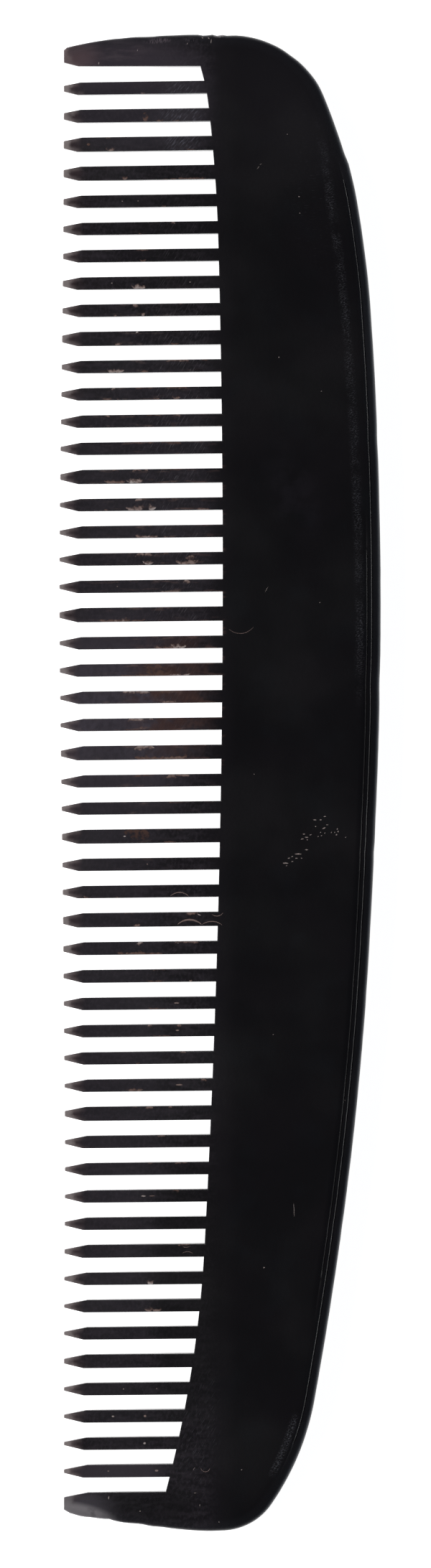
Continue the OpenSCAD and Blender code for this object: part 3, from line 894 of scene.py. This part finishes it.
# %% Masks for the teeth, their ends and their edges
# What each point carries: three distances, and on a flake its chip's depth and its tone
edge_in, from_tip, from_cut, chip_depth, chip_tone = [
    add(finish, "ShaderNodeAttribute", attribute_name=name).outputs["Fac"]
    for name in ("edge_mm", "tip_mm", "cut_mm", "reach", "tone")]
# On the teeth: rises from 0 at the plate to 1 some way along them
on_teeth = add(finish, "ShaderNodeMapRange", {0: across, 1: 0.5, 2: -3.0}, interpolation_type="SMOOTHSTEP")
# The clear end of each tooth stops at an uneven line: size of that unevenness, and how far it
# moves the line. Half of that on average, so the clear end fades out 1.2 mm from the tip, and the
# reddish one behind it at 2.7 mm.
END_UNEVEN_MM, END_MOVES_MM = 1.1, 2.2
uneven = add(finish, "ShaderNodeTexNoise", {"Vector": place_mm, "Scale": 1 / END_UNEVEN_MM, "Detail": 3.0})
uneven = add(finish, "ShaderNodeMath", {0: uneven, 1: -END_MOVES_MM, 2: from_tip}, operation="MULTIPLY_ADD")
clear_end = add(finish, "ShaderNodeMapRange", {0: uneven, 1: 0.10, 2: -0.80}, interpolation_type="SMOOTHSTEP")
at_tips = add(finish, "ShaderNodeMapRange", {0: uneven, 1: 1.6, 2: -0.5}, interpolation_type="SMOOTHSTEP")
# Light gets into the horn near any edge: a ray sent inwards soon meets the other side
FRINGE_MM = 0.6
near_edge = add(finish, "ShaderNodeAmbientOcclusion", {"Distance": FRINGE_MM * MM}, inside=True,
                only_local=True, samples=8)
near_edge = add(finish, "ShaderNodeMapRange", {0: near_edge.outputs["AO"], 1: 1.0, 2: 0.6})
# A flake is too thin for that, so it goes by its distance from the saw cut: no fringe at 0.57 mm,
# and all of it at 0.05 mm
is_flake = add(finish, "ShaderNodeMath", {0: chip_depth, 1: 0.5 * FLECK}, operation="GREATER_THAN")
by_cut = add(finish, "ShaderNodeMapRange", {0: from_cut, 1: 0.57, 2: 0.05})
near_edge = add(finish, "ShaderNodeMix", {0: is_flake, 2: near_edge, 3: by_cut}).outputs[0]
print("finish so far:", len(finish.nodes), "nodes")

# %% Bands that follow the outline
def ring_band(middle, reach):
    """A band that follows the outline, middle mm inside it."""
    off = add(finish, "ShaderNodeMath", {0: edge_in, 1: middle}, operation="SUBTRACT")
    off = add(finish, "ShaderNodeMath", {0: off}, operation="ABSOLUTE")
    return add(finish, "ShaderNodeMapRange", {0: off, 1: reach, 2: 0.1}, interpolation_type="SMOOTHSTEP")


# The scuffed band inside the back, partly scuffs and partly a painted sheen where the face
# begins to round over, runs 1.8 mm from the edge at the upper corner, 3.2 mm at the shoulder
# and 2.5 mm from the middle of the comb downwards
band_at = add(finish, "ShaderNodeMapRange", {0: up_comb, 1: 82.0, 2: 70.0, 3: 1.8, 4: 3.2})
nearer = add(finish, "ShaderNodeMapRange", {0: up_comb, 1: 62.0, 2: 20.0, 3: 0.0, 4: 0.7})
back_scuffs_and_sheen = ring_band(add(finish, "ShaderNodeMath", {0: band_at, 1: nearer}, operation="SUBTRACT"), 0.8)
# A second band of scuffs and painted sheen, near the foot of the back
foot_scuffs_and_sheen = ring_band(1.9, 0.6)
# The rasped strip along the edge, which is given a painted bluish reflection
rasped_strip_sheen = add(finish, "ShaderNodeMapRange", {0: edge_in, 1: 1.5, 2: 0.3})
print("finish so far:", len(finish.nodes), "nodes")

# %% [markdown]
# ## The colours of this one comb
# No two combs have the same clouds and streaks. A noise alone would put them anywhere, and a
# painted image would go soft near to. So the colours are laid like thin glazes, one over the
# other. Each has a mask, a strength and a shade: soft ovals say where it lies, by x and y in
# mm, and noises drawn out along the fibres, the file or the scraper break it up.

# %% Clouds in the plate, and lighter teeth
def lay_colours(under, layers):
    """Lays colours over one another. Each layer is a mask, a strength and a colour."""
    for mask, strength, shade in layers:
        share_of = add(finish, "ShaderNodeMath", {0: mask, 1: strength}, operation="MULTIPLY")
        under = add(finish, "ShaderNodeMix", {0: share_of, 6: under, 7: linear(shade)},
                    data_type="RGBA").outputs[2]
    print("laid:", len(layers), "colours, and the finish has", len(finish.nodes), "nodes")
    return under


# Mottling drawn out along the teeth
mottle = grain(2.6, 0.7, 0, 0.42, 0.68, 5.0, detail=3.0)
colour = lay_colours(colour, [
    # Clouds in the black plate
    (clouds(9.0, 0.42, 0.66, 1.0), 0.45, "#151216"),
    (clouds(5.0, 0.50, 0.72, 5.0), 0.45, "#121317"),
    (oval(12.0, 86.0, 18.0, 20.0, soft=0.2), 0.85, "#1b191d"),
    # Teeth that hold more light than their neighbours
    (both(on_teeth, oval(-9.0, 82.0, 14.0, 8.0, soft=0.5)), 0.70, "#302c33"),
    (both(on_teeth, oval(-12.5, 86.6, 13.0, 4.7)), 0.70, "#3c363e"),
    (both(on_teeth, oval(-9.0, 32.0, 13.0, 26.0, soft=0.5)), 0.80, "#28252a"),
    (both(on_teeth, oval(-12.5, 7.0, 12.5, 17.0, soft=0.1)), 0.95, "#524c56"),
    (both(on_teeth, oval(-10.5, 7.0, 14.0, 17.0), grain(0.6, 0.9, -10, 0.42, 0.64, 93.0, detail=4.0)), 0.40,
     "#221f24"),
    (both(on_teeth, oval(-13.0, -30.0, 8.0, 60.0, soft=0.4)), 0.75, "#2b282d"),
    (both(on_teeth, oval(-13.0, -82.9, 7.5, 2.0, soft=0.6)), 0.80, "#3c373d"),
    (both(on_teeth, mottle), 0.35, "#373238"),
    (both(on_teeth, grain(0.35, 0.5, -8, 0.42, 0.72, 91.0, detail=3.0)), 0.40, "#3a353c"),
])

# %% Red horn, smears and the ends of the teeth
# Smears along the teeth, and a ragged pattern that breaks them up
smears = grain(2.0, 0.4, 1, 0.52, 0.66, 21.0, detail=3.0)
ragged = grain(0.3, 0.7, -12, 0.30, 0.62, 27.0, detail=4.0)
red_stretch = oval(-5.2, 10.5, 7.5, 10.5)
colour = lay_colours(colour, [
    # Red horn over the root halves of the middle teeth, in upright fibres
    (both(on_teeth, red_stretch, clouds(2.6, 0.34, 0.58, 33.0)), 0.80, "#3f2c29"),
    (both(on_teeth, red_stretch, grain(0.7, 1.4, -10, 0.44, 0.68, 35.0, detail=5.0)), 0.40, "#503a34"),
    (both(near_edge, oval(-6.0, 22.0, 12.0, 42.0), smears), 0.65, "#584340"),
    # Faint smears beside the saw cuts, round the charted chips
    (both(near_edge, oval(-9.5, 30.0, 8.0, 50.0, soft=0.5), smears, ragged), 0.35, "#756762"),
    # The ends of the teeth: reddish, pale along the bevels, clear and grey at the very end
    (at_tips, 0.55, "#453638"),
    (both(near_edge, at_tips), 0.60, "#8a7f7f"),
    (clear_end, 0.80, "#8f8685"),
])

# %% The guard teeth and the chipped edge
colour = lay_colours(colour, [
    # Pinkish above, a grey clear patch below
    (oval(-17.6, 87.2, 4.2, 3.2, 6, 0.25), 0.70, "#5b4a4e"),
    (both(oval(-13.5, 87.6, 7.5, 2.6, 6, 0.2), mottle), 0.35, "#5a5056"),
    (oval(-15.8, -86.8, 4.8, 2.3, -8, 0.15), 0.70, "#49464c"),
    (both(oval(-11.5, -86.2, 9.0, 2.6, -4), grain(1.2, 0.5, 12, 0.48, 0.64, 79.0, detail=3.0)), 0.25,
     "#454349"),
    (both(oval(-8.0, -85.8, 8.0, 1.3), grain(0.22, 0.18, 0, 0.58, 0.74, 81.0)), 0.30, "#545156"),
    (oval(-18.9, -86.7, 1.5, 2.9, -8, 0.5), 0.80, "#726e71"),
    (both(oval(-16.8, -87.9, 5.2, 1.5, -12, 0.4), clouds(2.0, 0.25, 0.5, 77.0)), 0.95, "#868285"),
    # Pale dents on the upper edge
    (both(oval(-7.4, 89.15, 2.1, 0.45, 4), grain(0.5, 0.14, 80, 0.40, 0.62, 73.0)), 0.75, "#6d626a"),
    (both(oval(-3.6, 89.3, 1.2, 0.35), grain(0.5, 0.14, 80, 0.45, 0.65, 74.0)), 0.60, "#5d555b"),
    (both(oval(-0.1, 89.85, 0.95, 0.40, 0, 0.4), clouds(0.3, 0.35, 0.55, 75.0)), 0.85, "#b4adaf"),
])

# %% Marks of use and of the tools, and painted sheen along the back
# Short marks, a quarter of a millimetre long, that lean a little from level
scuffs = grain(0.28, 0.09, 20, 0.46, 0.74, 3.0)
colour = lay_colours(colour, [
    # The scuffed band inside the back, and one more at its foot: scuffs with a painted sheen
    (both(back_scuffs_and_sheen, oval(17.5, 48.0, 11.0, 41.0, soft=0.75), clouds(1.6, 0.30, 0.60, 63.0), scuffs), 0.38,
     "#66666d"),
    (both(foot_scuffs_and_sheen, oval(8.6, -79.8, 6.0, 4.4, soft=0.6), scuffs), 0.55, "#6d6e75"),
    # A faint cloud on the back, and a painted bluish reflection on the rasped strip along its edge
    (both(oval(9.0, 35.0, 4.5, 7.0, 20, 0.2), clouds(3.0, 0.35, 0.65, 45.0)), 0.40, "#211e24"),
    (rasped_strip_sheen, 0.35, "#292a2f"),
    (both(rasped_strip_sheen, oval(17.0, 57.0, 9.0, 22.0, soft=0.5)), 0.45, "#2c2d32"),
    # File marks at the roots, and the scraper's level lines on the upper back. The finest are
    # drawn a tenth of a millimetre wide, coarser than real ones, so that they show.
    (both(oval(-4.6, 80.0, 3.2, 8.0), grain(0.9, 0.11, 50, 0.52, 0.72, 6.0)), 0.50, "#70707c"),
    (both(on_teeth, oval(-5.0, 40.0, 6.0, 50.0), grain(1.5, 0.11, 60, 0.60, 0.74, 7.0)), 0.35,
     "#6b686e"),
    (both(oval(-3.0, -76.0, 4.0, 12.0, soft=0.2), grain(1.2, 0.10, 60, 0.62, 0.74, 8.0)), 0.25, "#77757c"),
    (both(oval(12.0, 72.0, 6.0, 16.0, soft=0.2), grain(0.8, 0.10, 1, 0.62, 0.80, 9.0)), 0.18, "#47474e"),
    # Darker horn: at the roots above and below the middle, and along the lower guard tooth
    (oval(-5.5, 66.0, 9.0, 11.0, soft=0.4), 0.40, DARKEST),
    (oval(-3.5, -60.0, 6.0, 22.0, soft=0.5), 0.60, DARKEST),
    (oval(-8.5, -86.6, 7.5, 3.0, -3, 0.4), 0.60, DARKEST),
])

# %% [markdown]
# ## Torn horn
# Where a sheet of horn is torn its layers part and scatter the light: pale in the middle of a
# flake, rusty where it thins out. A second material would draw the rim of every lens as a hard
# line. So the flakes have the horn's own finish, and its last layer, which only they show, fades
# out before the rim.

# %% Fade the torn horn
# Tone of a flake, colour of its torn horn
TORN_TONES = [(0.0, "#3a2a27"), (0.4, "#5c463f"), (0.7, "#85736e"), (1.0, "#b3aba9")]
# Size of the tear's unevenness, and how strongly it moves a fade
TEAR_MM, TEAR_MOVES = 0.4, 2.2
on_lens = add(finish, "ShaderNodeAttribute", attribute_name="on_lens").outputs["Vector"]
lengthwise = add(finish, "ShaderNodeMath", {0: add(finish, "ShaderNodeSeparateXYZ", {0: on_lens})},
                 operation="ABSOLUTE")
tear = add(finish, "ShaderNodeTexNoise", {"Vector": place_mm, "Scale": 1 / TEAR_MM, "Detail": 3.0})
tear = add(finish, "ShaderNodeMath", {0: tear, 1: 0.5}, operation="SUBTRACT")
# A chip is strong at the cut and fades inwards and towards its two ends
ends = add(finish, "ShaderNodeMath", {0: tear, 1: TEAR_MOVES, 2: lengthwise}, operation="MULTIPLY_ADD")
ends = add(finish, "ShaderNodeMapRange", {0: ends, 1: 1.0, 2: 0.45}, interpolation_type="SMOOTHSTEP")
inwards = add(finish, "ShaderNodeMath", {0: from_cut, 1: chip_depth}, operation="DIVIDE")
inwards = add(finish, "ShaderNodeMath", {0: tear, 1: TEAR_MOVES, 2: inwards}, operation="MULTIPLY_ADD")
paling = add(finish, "ShaderNodeMapRange", {0: inwards, 1: 1.0, 2: 0.2, 3: 0.6, 4: 1.05})
inwards = add(finish, "ShaderNodeMapRange", {0: inwards, 1: 1.15, 2: 0.4},
              interpolation_type="SMOOTHSTEP")
# A fleck keeps a clear rim
fleck = add(finish, "ShaderNodeVectorMath", {0: on_lens, 1: (1, 1, 0)}, operation="MULTIPLY")
fleck = add(finish, "ShaderNodeVectorMath", {0: fleck}, operation="LENGTH")
fleck = add(finish, "ShaderNodeMapRange", {0: fleck.outputs["Value"], 1: 1.0, 2: 0.6})
is_chip = add(finish, "ShaderNodeMath", {0: chip_depth, 1: 2 * FLECK}, operation="GREATER_THAN")
torn = add(finish, "ShaderNodeMix", {0: is_chip, 2: fleck, 3: both(ends, inwards)}).outputs[0]
paling = add(finish, "ShaderNodeMix", {0: is_chip, 2: 1.0, 3: paling}).outputs[0]
torn_colour = tones(both(chip_tone, paling), TORN_TONES)
colour = add(finish, "ShaderNodeMix", {0: both(is_flake, torn), 6: colour, 7: torn_colour},
             data_type="RGBA").outputs[2]
print("tones of torn horn:", len(TORN_TONES))

# %% [markdown]
# ## Gloss and fine relief
# Polished horn is glossy but not glassy: handling leaves it duller in soft clouds, so its
# roughness varies a little. The strokes of the file are too shallow to model. A bump of a
# hundredth of a millimetre tilts the gloss as they do.

# %% Gloss, relief and the shader
HORN_IOR = 1.55
# Depth of the marks that file and cloth left
RELIEF_MM = 0.01
haze = clouds(14.0, 0.35, 0.70, 51.0)
roughness = add(finish, "ShaderNodeMapRange", {0: haze, 3: 0.22, 4: 0.34})
relief = add(finish, "ShaderNodeMath",
             {0: grain(4.0, 0.12, 55, 0.45, 0.75, 61.0), 1: on_teeth, 2: clouds(0.5, 0.3, 0.7, 71.0)},
             operation="MULTIPLY_ADD")
bump = add(finish, "ShaderNodeBump", {"Height": relief, "Strength": 0.35, "Distance": RELIEF_MM * MM})
shader = add(finish, "ShaderNodeBsdfPrincipled",
             {"Base Color": colour, "Roughness": roughness, "Normal": bump, "IOR": HORN_IOR})
add(finish, "ShaderNodeOutputMaterial", {"Surface": shader})
print("finish:", len(finish.nodes), "nodes")

# %% [markdown]
# ## The light table
# The comb lies on a white light table, seen square from above. Black gloss is lit by what it
# mirrors: the part of the room straight above is dark, so the flat face stays black, and the
# room grows bright towards the sides, so the rounded edge and every arris draw a pale line.

# %% Table
# Half the table's width, and its distance below the comb
TABLE_MM, TABLE_GAP_MM = 9000, 0.02
corners = [(x * TABLE_MM, y * TABLE_MM, -TABLE_GAP_MM) for x, y in ((-1, -1), (1, -1), (1, 1), (-1, 1))]
table = add_mesh("light_table", corners, [(0, 1, 2, 3)])
glow = bpy.data.materials.new("opal light table")
glow.use_nodes = True
glow.node_tree.nodes.clear()
opal = add(glow.node_tree, "ShaderNodeBsdfDiffuse", {"Color": linear("#f2f2f2")})
lamp = add(glow.node_tree, "ShaderNodeEmission", {"Color": linear("#ffffff"), "Strength": 0.93})
opal = add(glow.node_tree, "ShaderNodeAddShader", {0: opal, 1: lamp})
add(glow.node_tree, "ShaderNodeOutputMaterial", {"Surface": opal})
table.data.materials.append(glow)
print("light table:", 2 * TABLE_MM * MM, "m wide")

# %% Room
world = bpy.data.worlds.new("room")
bpy.context.scene.world = world
world.use_nodes = True
room = world.node_tree
room.nodes.clear()
direction = add(room, "ShaderNodeTexCoord")
east, north, height = add(room, "ShaderNodeSeparateXYZ", {0: direction.outputs["Generated"]}).outputs
# The upward part of a direction is its height: low on the walls it is bright, and overhead dark
bright = add(room, "ShaderNodeMapRange", {0: height, 1: 0.62, 2: 0.10, 3: 0.04, 4: 1.0},
             interpolation_type="SMOOTHSTEP")
# The walls past the comb's two ends are half as bright as those along it
past_end = add(room, "ShaderNodeMath", {0: north}, operation="ABSOLUTE")
past_end = add(room, "ShaderNodeMapRange", {0: past_end, 1: 0.35, 2: 0.9, 3: 1.0, 4: 0.5},
               interpolation_type="SMOOTHSTEP")
bright = add(room, "ShaderNodeMath", {0: bright, 1: past_end}, operation="MULTIPLY")
side = add(room, "ShaderNodeMapRange", {0: east, 1: -0.2, 2: 0.8})
tint = add(room, "ShaderNodeMix", {0: side, 6: linear("#f6f4f4"), 7: linear("#dbe6f6")}, data_type="RGBA")
sky = add(room, "ShaderNodeBackground", {"Color": tint.outputs[2], "Strength": bright})
add(room, "ShaderNodeOutputWorld", {"Surface": sky})
print("room:", len(room.nodes), "nodes")

# %% Soft box
# It stands low on the tooth side and lights the faces without being mirrored in them. All in
# metres, and the energy in watts.
BOX_X, BOX_HEIGHT = -1.55, 1.0
BOX_WIDE, BOX_LONG, BOX_ENERGY = 1.0, 2.0, 42.0
box = bpy.data.objects.new("soft_box", bpy.data.lights.new("soft_box", "AREA"))
box.data.shape = "RECTANGLE"
box.data.size, box.data.size_y = BOX_WIDE, BOX_LONG
box.data.energy = BOX_ENERGY
box.location = (BOX_X, 0.0, BOX_HEIGHT)
box.rotation_euler = (0.0, math.atan2(BOX_X, BOX_HEIGHT), 0.0)
bpy.context.scene.collection.objects.link(box)
print("soft box, m from the comb:", round(math.hypot(BOX_X, BOX_HEIGHT), 2))

# %% [markdown]
# ## The camera
# The photograph looks straight down from far away: it shows no side of any tooth, not even at
# the two ends. A long lens high above the comb does the same.

# %% Camera
VIEW_HEIGHT_MM = 188.43
LENS_MM, SENSOR_MM = 380.0, 36.0
# The middle of the photograph, measured from the middle of the comb
VIEW_X_MM, VIEW_Y_MM = -0.53, -0.19
camera = bpy.data.objects.new("camera", bpy.data.cameras.new("camera"))
camera.data.lens = LENS_MM
camera.data.sensor_width = SENSOR_MM
camera.data.clip_end = 30.0
height_mm = PLATE_T + VIEW_HEIGHT_MM / SENSOR_MM * LENS_MM
camera.location = (VIEW_X_MM * MM, VIEW_Y_MM * MM, height_mm * MM)
bpy.context.scene.collection.objects.link(camera)
bpy.context.scene.camera = camera
bpy.context.scene.view_settings.view_transform = "Standard"
print("camera height, m:", round(camera.location.z, 3))

# %% [markdown]
# ## Handing over
# The comb moves as one body. It stands in for both measured pieces, plate and teeth, because they
# are one piece of horn. The flakes ride with it and are made of the same horn.

# %% Hand over
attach(comb, "root")
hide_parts("plate", "teeth")
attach(flakes, "root")
